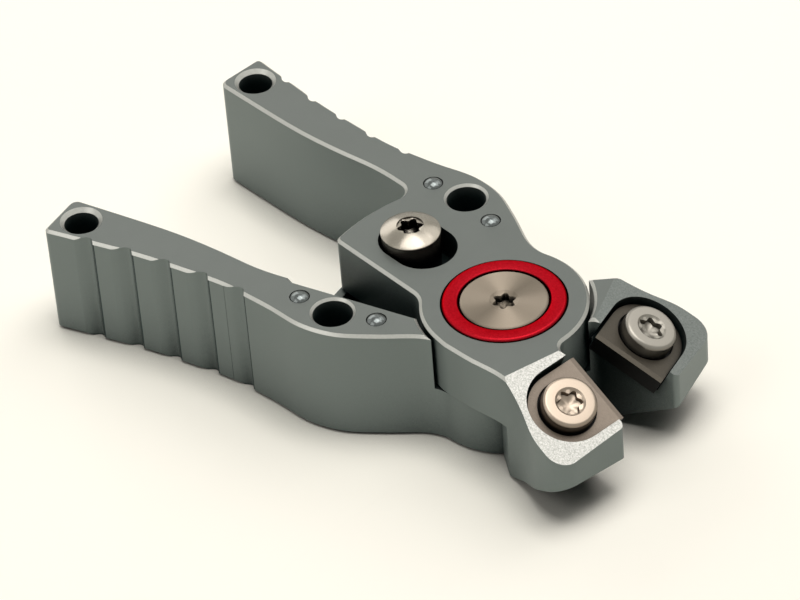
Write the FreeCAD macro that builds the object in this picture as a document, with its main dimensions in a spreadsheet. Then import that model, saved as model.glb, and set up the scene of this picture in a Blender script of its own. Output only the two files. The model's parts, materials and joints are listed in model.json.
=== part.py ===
import FreeCAD, Part
import math
import os
import Sketcher
from FreeCAD import Matrix, Placement, Rotation, Vector

# Micro nipper: two half-lapped aluminium levers that turn on one pivot, each with
# a carbide cutter screwed into its jaw.
# The origin is where the pivot axis meets the underside. +X points to the nose
# between the two jaws, +Z is up, and the tool stands open as it lies at rest.
# Each lever is drawn as it stands when the tool is closed, with its cutting line on
# the X axis, and is then turned open. "hand" is +1 for the upper lever, whose handle
# lies on the +Y side, and -1 for the lower one.

os.makedirs("parts", exist_ok=True)
doc = FreeCAD.newDocument("MicroNipper")

SIZES = [
    # Levers as a whole
    ("plate_height", 12.7, "thickness of both handles"),
    ("lap_gap", 0.2, "play between the two half laps"),
    ("half_open_angle", 10.4, "turn of each lever from closed to open"),
    ("edge_chamfer", 0.28, "bevel round the outline of the levers"),
    # Handles
    ("handle_end_x", 47.4, "distance from the pivot to the end of a handle"),
    ("end_slant", 0.25, "lean of the end"),
    ("inner_end_y", 2.95, "inner edge of a handle at its end"),
    ("end_inner_radius", 1.0, "inner corner of the end"),
    ("end_corner_radius", 0.6, "outer corner of the end"),
    ("rib_end_y", 8.6, "outer edge at the end"),
    ("rib_mid_y", 8.15, "outer edge at its innermost"),
    ("groove_count", 5, "finger grooves"),
    ("groove_pitch", 4.44, "distance between two grooves"),
    ("groove_first_x", 41.75, "crest behind the first groove, near the end"),
    ("groove_width", 2.3, "width of a groove"),
    ("groove_depth", 0.6, "depth of a groove"),
    ("hump_x", 14.9, "thickest place, beside the large hole"),
    ("hump_y", 11.27, "outer edge there"),
    # Half laps
    ("boss_radius", 8.3, "round boss at the pivot"),
    ("boss_clearance", 0.45, "room between a boss and the other lever"),
    ("wing_radius", 19.8, "end of the wing, round the pivot"),
    ("wing_edge_y", 5.3, "free edge of the wing"),
    ("wing_clearance", 0.25, "room between closed wing and handle"),
    ("wing_corner_radius", 0.8, "free corner of the wing"),
    ("wing_root_radius", 1.5, "hollow corner between wing and handle"),
    ("boss_fillet", 2.5, "hollow corner between wing and boss"),
    ("handle_root_y", 5.1, "inner edge of a handle beside the wing"),
    ("lap_margin", 2.8, "half lap past the end of the wing"),
    ("jaw_heel_radius", 1.3, "hollow corner between boss and jaw"),
    ("nose_radius", 2.0, "outer corner of the nose"),
    ("tip_radius", 0.55, "inner corner of the nose"),
    # Jaws
    ("nose_x", 17.95, "distance from the pivot to the nose"),
    ("jaw_wall_y", 1.05, "inner wall of a jaw, back from the cutting line"),
    ("jaw_width", 9.45, "outer wall of a jaw at its widest"),
    ("slope_start", 9.3, "where the jaw starts to taper"),
    ("slope_angle", 27.0, "taper of the top and the underside of a jaw"),
    ("slope_skew", 8.5, "turn of the taper away from the cutting line"),
    # Cutters
    ("cutter_start_x", 9.85, "heel of the cutting edge"),
    ("cutter_width", 7.7, "length of the cutting edge"),
    ("cutter_centre", 4.05, "screw hole behind the cutting edge"),
    ("cutter_thickness", 2.3, "thickness of a cutter"),
    ("cutter_recess", 0.85, "face of a cutter below the face of its jaw"),
    ("cutter_relief", 12.0, "backward lean of the face under the edge"),
    ("cutter_bevel", 0.5, "bevel above the cutting edge"),
    ("cutter_bevel_drop", 0.15, "cutting edge below the face of its cutter"),
    ("edge_gap", 0.03, "each cutting edge from the cutting line when closed"),
    ("cutter_side_gap", 0.1, "room round a cutter in its seat"),
    ("cutter_heel_gap", 0.35, "room at the pivot end of a cutter"),
    ("cutter_bore_radius", 1.45, "screw hole of a cutter"),
    ("cutter_sink_radius", 2.95, "counterbore of a cutter"),
    ("cutter_sink_depth", 0.6, "depth of that counterbore"),
    # Cutter screws
    ("cutter_screw_radius", 1.25, "shank"),
    ("cutter_screw_length", 6.4, "under the head"),
    ("cutter_screw_head_radius", 2.72, "head"),
    ("cutter_screw_head_height", 2.1, "head"),
    ("cutter_screw_dome", 0.45, "rounded part of the head"),
    ("thread_clearance", 0.02, "room round every screwed or pressed shank"),
    ("side_play", 0.05, "room round pieces that lie loose in a seat"),
    # Pivot
    ("disc_radius", 4.35, "flat head of the pivot screw and of the barrel"),
    ("disc_height", 1.2, "its thickness"),
    ("disc_gap", 0.2, "room between disc and collar"),
    ("collar_radius", 6.0, "outside of a collar"),
    ("collar_height", 1.7, "height of a collar"),
    ("collar_web", 0.45, "floor of a collar under the disc"),
    ("collar_proud", 0.25, "upper collar above the lever"),
    ("collar_rounding", 0.25, "outer top edge of a collar"),
    ("barrel_radius", 2.5, "bearing surface of the barrel"),
    ("running_clearance", 0.04, "room between barrel and turning parts"),
    ("bush_wall", 0.8, "wall of a bush"),
    ("pivot_thread_radius", 1.5, "shank of the pivot screw"),
    ("pivot_thread_length", 6.5, "length of that shank"),
    ("spring_pocket_radius", 5.6, "pocket in each half lap"),
    ("spring_pocket_depth", 1.95, "depth of that pocket"),
    ("washer_radius", 7.6, "outside of the thrust washer"),
    ("washer_inner_radius", 5.8, "inside of the thrust washer"),
    ("washer_thickness", 0.4, "thickness of the thrust washer"),
    ("washer_play", 0.02, "play on both sides of the thrust washer"),
    # Return spring
    ("spring_wire", 0.6, "side of the square wire"),
    ("spring_radius", 4.4, "middle of the coils"),
    ("spring_turns", 3, "whole coils, beside the part turn between the legs"),
    ("spring_leg", 7.2, "reach of both legs from the pivot"),
    ("spring_slot_width", 0.9, "slots that hold the legs"),
    # Lock
    ("lock_rest_x", 13.7, "button when the lock is off"),
    ("lock_travel", 2.0, "travel of the button toward the pivot"),
    ("lock_slot_radius", 3.3, "half the width of the slot"),
    ("lock_slot_depth", 3.4, "depth of the wide part of the slot"),
    ("lock_neck_radius", 1.6, "half the width of the slot under the button"),
    ("button_radius", 3.03, "rim of the button"),
    ("button_rim_height", 1.0, "rim above the lever"),
    ("button_dome", 0.9, "dome above the rim"),
    ("button_shank_radius", 1.5, "shank of the button"),
    ("slider_length", 5.0, "block under the slot"),
    ("slider_width", 5.2, "block under the slot"),
    ("slider_thickness", 1.6, "block under the slot"),
    ("slider_clearance", 0.1, "room round the block"),
    ("lock_pin_radius", 1.0, "pin under the block"),
    ("lock_pin_length", 1.75, "pin under the block"),
    ("lock_pin_clearance", 0.1, "room round that pin in its track"),
    # Stop pin
    ("stop_pin_radius", 0.8, "pin pressed into the upper wing"),
    ("stop_pin_reach", 18.0, "distance of the pin from the pivot"),
    ("stop_pin_angle", 9.0, "angle of the pin past the handle line"),
    ("stop_pin_hole_depth", 2.4, "how deep the pin sits"),
    ("stop_pin_length", 4.0, "whole length of the pin"),
    ("stop_clearance", 0.1, "room round the pin in its arc slot"),
    # Holes and dowels in the handles
    ("large_hole_x", 14.6, "large hole"),
    ("large_hole_y", 8.15, "large hole"),
    ("large_hole_radius", 2.0, "large hole"),
    ("large_hole_chamfer", 0.25, "large hole"),
    ("small_hole_x", 44.6, "hole near the end"),
    ("small_hole_y", 5.75, "hole near the end"),
    ("small_hole_radius", 1.75, "hole near the end"),
    ("small_hole_chamfer", 0.4, "hole near the end"),
    ("dowel_radius", 1.0, "dowels beside the large hole"),
    ("dowel_rear_x", 18.7, "rear dowel"),
    ("dowel_rear_y", 7.37, "rear dowel"),
    ("dowel_front_x", 10.15, "front dowel"),
    ("dowel_front_y", 7.42, "front dowel"),
    ("dowel_length", 10.0, "length of a dowel without its dome"),
    ("dowel_dome", 0.45, "dome of a dowel, above the lever"),
    # Six-lobe sockets
    ("socket_depth", 1.0, "depth of the sockets"),
    ("small_socket_radius", 1.2, "sockets of pivot and cutter screws"),
    ("button_socket_radius", 1.35, "socket of the button"),
]

sheet = doc.addObject("Spreadsheet::Sheet", "Sizes")
for row, (alias, value, meaning) in enumerate(SIZES, start=1):
    sheet.set(f"A{row}", alias)
    sheet.set(f"B{row}", str(value))
    sheet.set(f"C{row}", meaning)
    sheet.setAlias(f"B{row}", alias)
doc.recompute()

size = {alias: float(sheet.get(alias)) for alias, value, meaning in SIZES}
UPPER = 1
LOWER = -1
UP = Vector(0, 0, 1)


def sized(thing, **expressions):
    """Bind properties of a feature to expressions in the sheet's names."""
    for name, text in expressions.items():
        thing.setExpression(name.replace("__", "."), text)
    return thing


def turned(degrees, reach):
    """The point at that reach from the pivot, degrees round from +X."""
    turn = math.radians(degrees)
    return (reach * math.cos(turn), reach * math.sin(turn))


def new_body(label):
    body = doc.addObject("PartDesign::Body", label)
    body.Label = label
    return body


def sketch_on(body, name, height="0", role="XY_Plane", place=None):
    """A sketch on one of the body's own planes, at a height given by an expression."""
    sketch = body.newObject("Sketcher::SketchObject", name)
    plane = next(item for item in body.Origin.OriginFeatures if item.Role == role)
    sketch.AttachmentSupport = (plane, [""])
    sketch.MapMode = "FlatFace"
    if place is not None:
        sketch.AttachmentOffset = place
    elif height != "0":
        sketch.setExpression(".AttachmentOffset.Base.z", height)
    return sketch


def draw(sketch, start, steps, hand=1):
    """Draw one closed outline from lines, three-point arcs and curves.

    A smooth curve also has a direction where it starts and one where it ends.
    """
    def at(point):
        return Vector(point[0], hand * point[1], 0)

    here = start
    for kind, *points in steps:
        if kind == "line":
            edge = Part.LineSegment(at(here), at(points[0]))
        elif kind == "arc":
            edge = Part.Arc(at(here), at(points[0]), at(points[1]))
        elif kind == "smooth":
            come, go, *points = points
            edge = Part.BSplineCurve()
            edge.interpolate(
                Points=[at(here)] + [at(point) for point in points],
                InitialTangent=at(come), FinalTangent=at(go))
        else:
            edge = Part.BSplineCurve()
            edge.interpolate([at(here)] + [at(point) for point in points])
        sketch.addGeometry(edge, False)
        here = points[-1]
    return sketch


def circle(sketch, radius, x="0", y="0"):
    """A circle whose radius and centre follow expressions in the sheet's names."""
    index = sketch.addGeometry(Part.Circle(Vector(1, 1, 0), UP, 1), False)
    holds = [Sketcher.Constraint("Radius", index, 1.0)]
    if x == "0" and y == "0":
        holds.append(Sketcher.Constraint("Coincident", index, 3, -1, 1))
    else:
        holds.append(Sketcher.Constraint("DistanceX", -1, 1, index, 3, 1.0))
        holds.append(Sketcher.Constraint("DistanceY", -1, 1, index, 3, 1.0))
    first = sketch.ConstraintCount
    sketch.addConstraint(holds)
    for step, text in enumerate([radius] if len(holds) == 2 else [radius, x, y]):
        sketch.setExpression(f"Constraints[{first + step}]", text)
    return sketch


def pad(body, sketch, length, upward=True):
    feature = body.newObject("PartDesign::Pad", sketch.Name + "_pad")
    feature.Profile = sketch
    feature.Reversed = not upward
    return sized(feature, Length=length)


def pocket(body, sketch, length, upward=False):
    """Cut from the sketch down, or up when told so."""
    feature = body.newObject("PartDesign::Pocket", sketch.Name + "_cut")
    feature.Profile = sketch
    feature.Reversed = upward
    return sized(feature, Length=length)


def revolve(body, sketch, name):
    feature = body.newObject("PartDesign::Revolution", name)
    feature.Profile = sketch
    feature.ReferenceAxis = (sketch, ["V_Axis"])
    feature.Angle = 360
    return feature


def rim_edges(shape, height):
    """Names of the edges at one height where a level face meets an upright one."""
    names = []
    for number, edge in enumerate(shape.Edges, start=1):
        box = edge.BoundBox
        if abs(box.ZMin - height) > 1e-4 or abs(box.ZMax - height) > 1e-4:
            continue
        sides = shape.ancestorsOfType(edge, Part.Face)
        middle = edge.valueAt((edge.FirstParameter + edge.LastParameter) / 2)
        leans = [abs(side.normalAt(*side.Surface.parameter(middle)).z) for side in sides]
        if min(leans) < 1e-3 and max(leans) > 0.999:
            names.append(f"Edge{number}")
    return names


def chamfer(body, name, names, width):
    before = body.Tip
    feature = body.newObject("PartDesign::Chamfer", name)
    feature.Base = (before, names)
    return sized(feature, Size=width)


def socket(body, name, radius, top, depth):
    """A six-lobe socket sunk into a head from the height given."""
    sketch = sketch_on(body, name, top)
    lobe = size[radius]
    waist = 0.72 * lobe
    points = [turned(30 * step, lobe if step % 2 == 0 else waist) for step in range(12)]
    middles = [turned(30 * step + 15, 0.875 * lobe) for step in range(12)]
    steps = [("arc", middles[k], points[(k + 1) % 12]) for k in range(12)]
    draw(sketch, points[0], steps)
    return pocket(body, sketch, depth)


# The sloping face of a jaw and the seat of its cutter

def slope_normal(hand):
    lean = math.radians(size["slope_angle"])
    skew = math.radians(size["slope_skew"])
    return Vector(
        math.sin(lean) * math.cos(skew),
        -hand * math.sin(lean) * math.sin(skew),
        math.cos(lean),
    )


def slope_place(hand, sink):
    """Frame on the jaw's slope, sunk below it: X along the cutting edge, Z outward.

    Its origin lies under the middle of the cutter's round back.
    """
    normal = slope_normal(hand)
    along = Vector(1, 0, -normal.x / normal.z).normalize()
    across = normal.cross(along)
    skew = math.radians(size["slope_skew"])
    fall = size["cutter_start_x"] * math.cos(skew) - size["slope_start"]
    level = size["plate_height"] - math.tan(math.radians(size["slope_angle"])) * fall
    heel = Vector(size["cutter_start_x"], -hand * size["edge_gap"], level)
    heel -= UP * (size["cutter_recess"] / normal.z)
    middle = heel + along * (size["cutter_width"] / 2)
    middle -= across * (hand * size["cutter_centre"])
    base = middle + normal * (size["cutter_recess"] - sink)
    matrix = Matrix(
        along.x, across.x, normal.x, base.x,
        along.y, across.y, normal.y, base.y,
        along.z, across.z, normal.z, base.z,
        0, 0, 0, 1,
    )
    return Placement(matrix)


def opened(hand):
    """The turn that opens a lever from its closed place."""
    return Placement(Vector(), Rotation(UP, -hand * size["half_open_angle"]))


# Outlines of a lever, drawn for the upper one

def rounded(corner, come, go, radius):
    """Arc that rounds a corner: its first point and the step that draws it."""
    corner = Vector(*corner, 0)
    come = Vector(*come, 0).normalize()
    go = Vector(*go, 0).normalize()
    back = radius * math.tan(come.getAngle(go) / 2)
    start = corner - come * back
    end = corner + go * back
    middle = (start + end) / 2
    centre = corner + (middle - corner) * (math.hypot(back, radius) / (middle - corner).Length)
    top = centre + (corner - centre).normalize() * radius
    return (start.x, start.y), ("arc", (top.x, top.y), (end.x, end.y))


def boss_reach():
    return size["boss_radius"] + size["boss_clearance"]


def cut_edge_y():
    return size["wing_edge_y"] + size["wing_clearance"]


def end_corners():
    """Both corners of the handle's end, and its direction."""
    inner = (-size["handle_end_x"] + size["end_slant"], size["inner_end_y"])
    outer = (-size["handle_end_x"], size["rib_end_y"])
    return inner, outer, (outer[0] - inner[0], outer[1] - inner[1])


def outer_edge():
    """Outer edge of the handle as points, with its directions at both ends."""
    first = rounded(end_corners()[1], end_corners()[2], (1, -0.07), size["end_corner_radius"])[1][-1]
    boss = size["boss_radius"]
    hump_x = size["hump_x"]
    hump_y = size["hump_y"]
    mid_y = size["rib_mid_y"]
    span = size["handle_end_x"] - hump_x
    # Shares of the way from the hump to the end, and of the rise from the waist to the hump
    waist = (
        (0.834, 0.062), (0.665, 0), (0.495, 0.068), (0.351, 0.185), (0.262, 0.385),
        (0.157, 0.662), (0.068, 0.938), (0, 1),
    )
    points = [first] + [(-hump_x - x * span, mid_y + y * (hump_y - mid_y)) for x, y in waist]
    # Shares of the way from the pivot to the hump, and of the rise from the boss to the hump
    neck = ((0.839, 0.907), (0.685, 0.633), (0.55, 0.35), (0.423, 0.05), (0.295, -0.16))
    points += [(-x * hump_x, boss + y * (hump_y - boss)) for x, y in neck]
    points.append(turned(108, boss))
    return points, (1, -0.07), (math.sin(math.radians(108)), -math.cos(math.radians(108)))


def outer_curve():
    points, come, go = outer_edge()
    edge = Part.BSplineCurve()
    edge.interpolate(
        Points=[Vector(*point, 0) for point in points],
        InitialTangent=Vector(*come, 0), FinalTangent=Vector(*go, 0))
    return edge


def lever_outline():
    """The whole lever, as its blank is cut to shape."""
    boss = size["boss_radius"]
    wall = size["jaw_wall_y"]
    nose = size["nose_x"]
    wide = size["jaw_width"]
    edge = size["wing_edge_y"]
    reach = size["wing_radius"]
    root = size["wing_root_radius"]
    soft = size["wing_corner_radius"]
    fill = size["boss_fillet"]
    heel = size["jaw_heel_radius"]
    root_line = size["handle_root_y"]
    inner_corner, outer_corner, end_way = end_corners()
    end_start, end_arc = rounded(outer_corner, end_way, (1, -0.07), size["end_corner_radius"])
    edge_points, edge_from, edge_to = outer_edge()
    # Hollow corner between the boss and the inner wall of the jaw
    heel_x = math.sqrt((boss + heel) ** 2 - (heel - wall) ** 2)
    on_boss = (heel_x * boss / (boss + heel), (heel - wall) * boss / (boss + heel))
    half = math.radians((math.degrees(math.atan2(heel - wall, heel_x)) + 180 + 270) / 2)
    heel_mid = (heel_x + heel * math.cos(half), heel - wall + heel * math.sin(half))
    # Rounded corners of the nose
    tip_start, tip_arc = rounded((nose, -wall), (1, 0), (0, -1), size["tip_radius"])
    nose_start, nose_arc = rounded((nose, -wide), (0, -1), (-1, 0), size["nose_radius"])
    # Hollow corner between the boss and the free edge of the wing
    fill_y = -edge - fill
    fill_x = -math.sqrt((boss + fill) ** 2 - fill_y ** 2)
    off_boss = (fill_x * boss / (boss + fill), fill_y * boss / (boss + fill))
    half = (math.atan2(-fill_y, -fill_x) + math.pi / 2) / 2
    fill_mid = (fill_x + fill * math.cos(half), fill_y + fill * math.sin(half))
    # Rounded free corner of the wing
    low_y = -edge + soft
    low_x = -math.sqrt((reach - soft) ** 2 - low_y ** 2)
    on_end = (low_x * reach / (reach - soft), low_y * reach / (reach - soft))
    half = (math.atan2(low_y, low_x) % (2 * math.pi) + 1.5 * math.pi) / 2
    low_mid = (low_x + soft * math.cos(half), low_y + soft * math.sin(half))
    # Hollow corner between the end of the wing and the handle
    root_y = root_line - root
    root_x = -math.sqrt((reach + root) ** 2 - root_y ** 2)
    off_end = (root_x * reach / (reach + root), root_y * reach / (reach + root))
    half = (math.atan2(-root_y, -root_x) + math.pi / 2) / 2
    root_mid = (root_x + root * math.cos(half), root_y + root * math.sin(half))
    inner_start, inner_arc = rounded(inner_corner, (-1, -0.03), end_way, size["end_inner_radius"])
    inner_span = root_x - inner_corner[0]
    inner_rise = root_line - inner_corner[1]
    inner = [(root_x - x * inner_span, inner_corner[1] + y * inner_rise)
             for x, y in ((0.163, 0.898), (0.274, 0.658), (0.392, 0.422), (0.532, 0.222), (0.717, 0.102))]
    # Outer wall of the jaw, from the nose to the boss
    side = math.radians(-98)
    cheek = [(0.776 * nose, -0.984 * wide), (0.654 * nose, -0.9 * wide), (0.565 * nose, -0.852 * wide)]
    cheek += [(0.471 * nose, -0.935 * boss), (0.355 * nose, -0.946 * boss), (0.222 * nose, -0.988 * boss),
              (0.066 * nose, -1.01 * boss), turned(-98, boss)]
    return end_start, [
        end_arc,
        ("smooth", edge_from, edge_to, *edge_points[1:]),
        ("arc", turned(50, boss), on_boss),
        ("arc", heel_mid, (heel_x, -wall)),
        ("line", tip_start), tip_arc,
        ("line", nose_start), nose_arc,
        ("smooth", (-1, 0), (math.sin(side), -math.cos(side)), *cheek),
        ("arc", turned(-110, boss), off_boss),
        ("arc", fill_mid, (fill_x, -edge)),
        ("line", (low_x, -edge)),
        ("arc", low_mid, on_end),
        ("arc", (-reach, 0), off_end),
        ("arc", root_mid, (root_x, root_line)),
        ("smooth", (-1, 0), (-1, -0.03), *inner, inner_start),
        inner_arc,
        ("line", end_start),
    ]


def groove_outline(x):
    """A finger groove: a gentle way in from the end of the handle, and a steep crest."""
    edge = outer_curve()
    upright = Part.Line(Vector(-x, 0, 0), Vector(-x, 1, 0))
    crest = edge.intersect(upright)[0]
    crest = Vector(crest.X, crest.Y, 0)
    along = edge.tangent(edge.parameter(crest))[0]
    out = UP.cross(along)
    wide = size["groove_width"]
    deep = size["groove_depth"]

    def at(share, depth):
        point = crest + along * (share * wide) + out * (depth * deep)
        return (point.x, point.y)

    def way(share, depth):
        turn = along * (share * wide) + out * (depth * deep)
        return (turn.x, turn.y)

    # Shares of the width back from the crest, and of the depth
    hollow = ((-0.87, -0.1), (-0.65, -0.45), (-0.48, -0.83), (-0.33, -1), (-0.17, -0.83), (-0.06, -0.33))
    return at(-1.15, 0.1), [
        ("smooth", way(1, -0.25), way(0.15, 1.4), *[at(*point) for point in hollow], at(0.01, 0.1)),
        ("line", at(0.15, 2)),
        ("line", at(-1.25, 2)),
        ("line", at(-1.15, 0.1)),
    ]


def lap_outline():
    """What is milled away in one half layer for the wing and boss of the other lever."""
    reach = boss_reach()
    cut = cut_edge_y()
    left = -size["wing_radius"] - size["lap_margin"]
    ramp = cut - 0.85 * size["handle_root_y"]
    below = -1.6 * reach
    right = 1.19 * reach
    start = (left, below)
    return start, [
        ("line", (left, cut - ramp)),
        ("line", (left + 1.7 * ramp, cut)),
        ("line", (-math.sqrt(reach ** 2 - cut ** 2), cut)),
        ("arc", turned(60, reach), turned(-46.5, reach)),
        ("line", (right, -1.02 * reach)),
        ("line", (right, below)),
        ("line", start),
    ]


def cutter_outline(hand, side_gap, heel_gap, overrun):
    """D shape of a cutter in its own frame, or of its seat when gaps are given."""
    half = size["cutter_width"] / 2
    edge = size["cutter_centre"]
    heel = -half - heel_gap
    toe = half + side_gap
    back = (toe - heel) / 2
    middle = (toe + heel) / 2
    start = (heel, edge + overrun)
    steps = [
        ("line", (heel, 0)),
        ("arc", (middle, -back), (toe, 0)),
        ("line", (toe, edge + overrun)),
        ("line", start),
    ]
    return start, steps


def lever(label, hand):
    upper = hand == UPPER
    body = new_body(label)
    whole = "Sizes.plate_height"
    half = "(Sizes.plate_height - Sizes.lap_gap) / 2"
    lap = "(Sizes.plate_height + Sizes.lap_gap) / 2" if upper else half
    outside = whole if upper else "0"
    into = not upper

    def outline(name, shape, height="0"):
        start, steps = shape
        return draw(sketch_on(body, name, height), start, steps, hand)

    pad(body, outline("outline", lever_outline()), whole)
    milled = outline("half_lap", lap_outline(), "0" if upper else half)
    pocket(body, milled, lap if upper else whole, upward=True)
    doc.recompute()

    # Bevel round the outline above and below
    for place, height in (("top", size["plate_height"]), ("bottom", 0)):
        names = rim_edges(body.Tip.Shape, height)
        chamfer(body, f"outline_{place}_bevel", names, "Sizes.edge_chamfer")
        doc.recompute()

    # Finger grooves along the outer edge
    grooves = sketch_on(body, "finger_grooves")
    for step in range(int(size["groove_count"])):
        start, steps = groove_outline(size["groove_first_x"] - step * size["groove_pitch"])
        draw(grooves, start, steps, hand)
    pocket(body, grooves, whole, upward=True)

    # Wedge of the jaw: the same taper above and below
    for name, flip in (("top_slope", False), ("bottom_slope", True)):
        place = slope_place(hand, 0)
        sketch = sketch_on(body, name, place=place)
        if flip:
            base = place.Base
            normal = place.Rotation.multVec(UP)
            along = place.Rotation.multVec(Vector(1, 0, 0))
            low = Vector(base.x, base.y, size["plate_height"] - base.z)
            normal = Vector(normal.x, normal.y, -normal.z)
            along = Vector(along.x, along.y, -along.z)
            across = normal.cross(along)
            mirror = Matrix(
                along.x, across.x, normal.x, low.x,
                along.y, across.y, normal.y, low.y,
                along.z, across.z, normal.z, low.z,
                0, 0, 0, 1,
            )
            sketch.AttachmentOffset = Placement(mirror)
        draw(sketch, (-14, -16), [
            ("line", (14, -16)), ("line", (14, 16)), ("line", (-14, 16)), ("line", (-14, -16))])
        pocket(body, sketch, "Sizes.plate_height * 2", upward=True)

    # Seat and tapped hole of the cutter
    floor = size["cutter_recess"] + size["cutter_thickness"]
    seat = sketch_on(body, "cutter_seat", place=slope_place(hand, floor))
    start, steps = cutter_outline(hand, size["cutter_side_gap"], size["cutter_heel_gap"], 4)
    draw(seat, start, steps, hand)
    pocket(body, seat, "Sizes.plate_height", upward=True)
    tapped = sketch_on(body, "cutter_screw_hole", place=slope_place(hand, floor))
    circle(tapped, "Sizes.cutter_screw_radius + Sizes.thread_clearance")
    pocket(body, tapped, "Sizes.cutter_screw_length - Sizes.cutter_thickness + Sizes.cutter_sink_depth + 0.3")

    # Pivot: collar seat outside, bush bore, spring pocket inside
    bore = sketch_on(body, "pivot_bore", outside)
    circle(bore, "Sizes.barrel_radius + Sizes.running_clearance + Sizes.bush_wall + Sizes.thread_clearance")
    pocket(body, bore, whole, upward=into)
    seat = sketch_on(body, "collar_seat", outside)
    circle(seat, "Sizes.collar_radius + Sizes.thread_clearance")
    depth = "Sizes.collar_height - Sizes.collar_proud" if upper else "Sizes.collar_height"
    pocket(body, seat, depth, upward=into)
    spring = sketch_on(body, "spring_pocket", lap)
    circle(spring, "Sizes.spring_pocket_radius")
    pocket(body, spring, "Sizes.spring_pocket_depth", upward=upper)
    slot = sketch_on(body, "spring_leg_slot", lap)
    wide = size["spring_slot_width"] / 2
    reach = size["spring_leg"] + wide
    mean = size["spring_radius"]
    draw(slot, (0, mean - wide), [
        ("line", (reach, mean - wide)), ("line", (reach, mean + wide)),
        ("line", (0, mean + wide)), ("line", (0, mean - wide))], -hand)
    pocket(body, slot, "Sizes.spring_pocket_depth", upward=upper)

    if upper:
        upper_lock_and_stop(body, lap)
    else:
        lower_lock_and_stop(body, lap)

    # Holes through the handle
    for name in ("large_hole", "small_hole"):
        hole = sketch_on(body, name)
        circle(hole, f"Sizes.{name}_radius", f"-Sizes.{name}_x", f"{hand} * Sizes.{name}_y")
        pocket(body, hole, whole, upward=True)
        for place, height in (("top", whole), ("bottom", "0")):
            rim = sketch_on(body, f"{name}_{place}_bevel", height)
            circle(rim, f"Sizes.{name}_radius + Sizes.{name}_chamfer",
                   f"-Sizes.{name}_x", f"{hand} * Sizes.{name}_y")
            bevel = pocket(body, rim, f"Sizes.{name}_chamfer", upward=place == "bottom")
            bevel.TaperAngle = -45
    dowels = sketch_on(body, "dowel_holes", whole)
    for name in ("dowel_rear", "dowel_front"):
        circle(dowels, "Sizes.dowel_radius + Sizes.thread_clearance",
               f"-Sizes.{name}_x", f"{hand} * Sizes.{name}_y")
    pocket(body, dowels, "Sizes.dowel_length")
    doc.recompute()

    body.Placement = opened(hand)
    return body


def straight_slot(sketch, x_from, x_to, radius):
    """A slot along X with round ends."""
    draw(sketch, (x_from, -radius), [
        ("line", (x_to, -radius)), ("arc", (x_to + radius, 0), (x_to, radius)),
        ("line", (x_from, radius)), ("arc", (x_from - radius, 0), (x_from, -radius))])
    return sketch


def upper_lock_and_stop(body, lap):
    """Slot and pocket of the sliding lock, and the hole of the stop pin."""
    rest = -size["lock_rest_x"]
    locked = rest + size["lock_travel"]
    wide = straight_slot(sketch_on(body, "lock_slot", "Sizes.plate_height"), rest, locked,
                         size["lock_slot_radius"])
    pocket(body, wide, "Sizes.lock_slot_depth")
    neck = straight_slot(sketch_on(body, "lock_neck", "Sizes.plate_height"), rest, locked,
                         size["lock_neck_radius"])
    pocket(body, neck, "Sizes.plate_height / 2")
    room = size["slider_clearance"]
    back = rest - size["slider_length"] / 2 - room
    front = locked + size["slider_length"] / 2 + room
    side = size["slider_width"] / 2 + room
    under = sketch_on(body, "slider_pocket", lap)
    draw(under, (back, -side), [
        ("line", (front, -side)), ("line", (front, side)), ("line", (back, side)), ("line", (back, -side))])
    pocket(body, under, "Sizes.slider_thickness + Sizes.slider_clearance", upward=True)
    hole = sketch_on(body, "stop_pin_hole", lap)
    reach = "Sizes.stop_pin_reach"
    circle(hole, "Sizes.stop_pin_radius + Sizes.thread_clearance",
           f"-{reach} * cos(Sizes.stop_pin_angle * 1 deg)", f"-{reach} * sin(Sizes.stop_pin_angle * 1 deg)")
    pocket(body, hole, "Sizes.stop_pin_hole_depth", upward=True)


def arc_slot(sketch, reach, radius, turn_from, turn_to):
    """A slot round the pivot with round ends, between two turns from +X."""
    middle = (turn_from + turn_to) / 2
    inner = reach - radius
    outer = reach + radius
    start = turned(turn_from, outer)

    def cap(turn, side):
        centre = turned(turn, reach)
        ahead = math.radians(turn + 90 * side)
        return (centre[0] + radius * math.cos(ahead), centre[1] + radius * math.sin(ahead))

    draw(sketch, start, [
        ("arc", turned(middle, outer), turned(turn_to, outer)),
        ("arc", cap(turn_to, 1), turned(turn_to, inner)),
        ("arc", turned(middle, inner), turned(turn_from, inner)),
        ("arc", cap(turn_from, -1), start),
    ])
    return sketch


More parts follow.
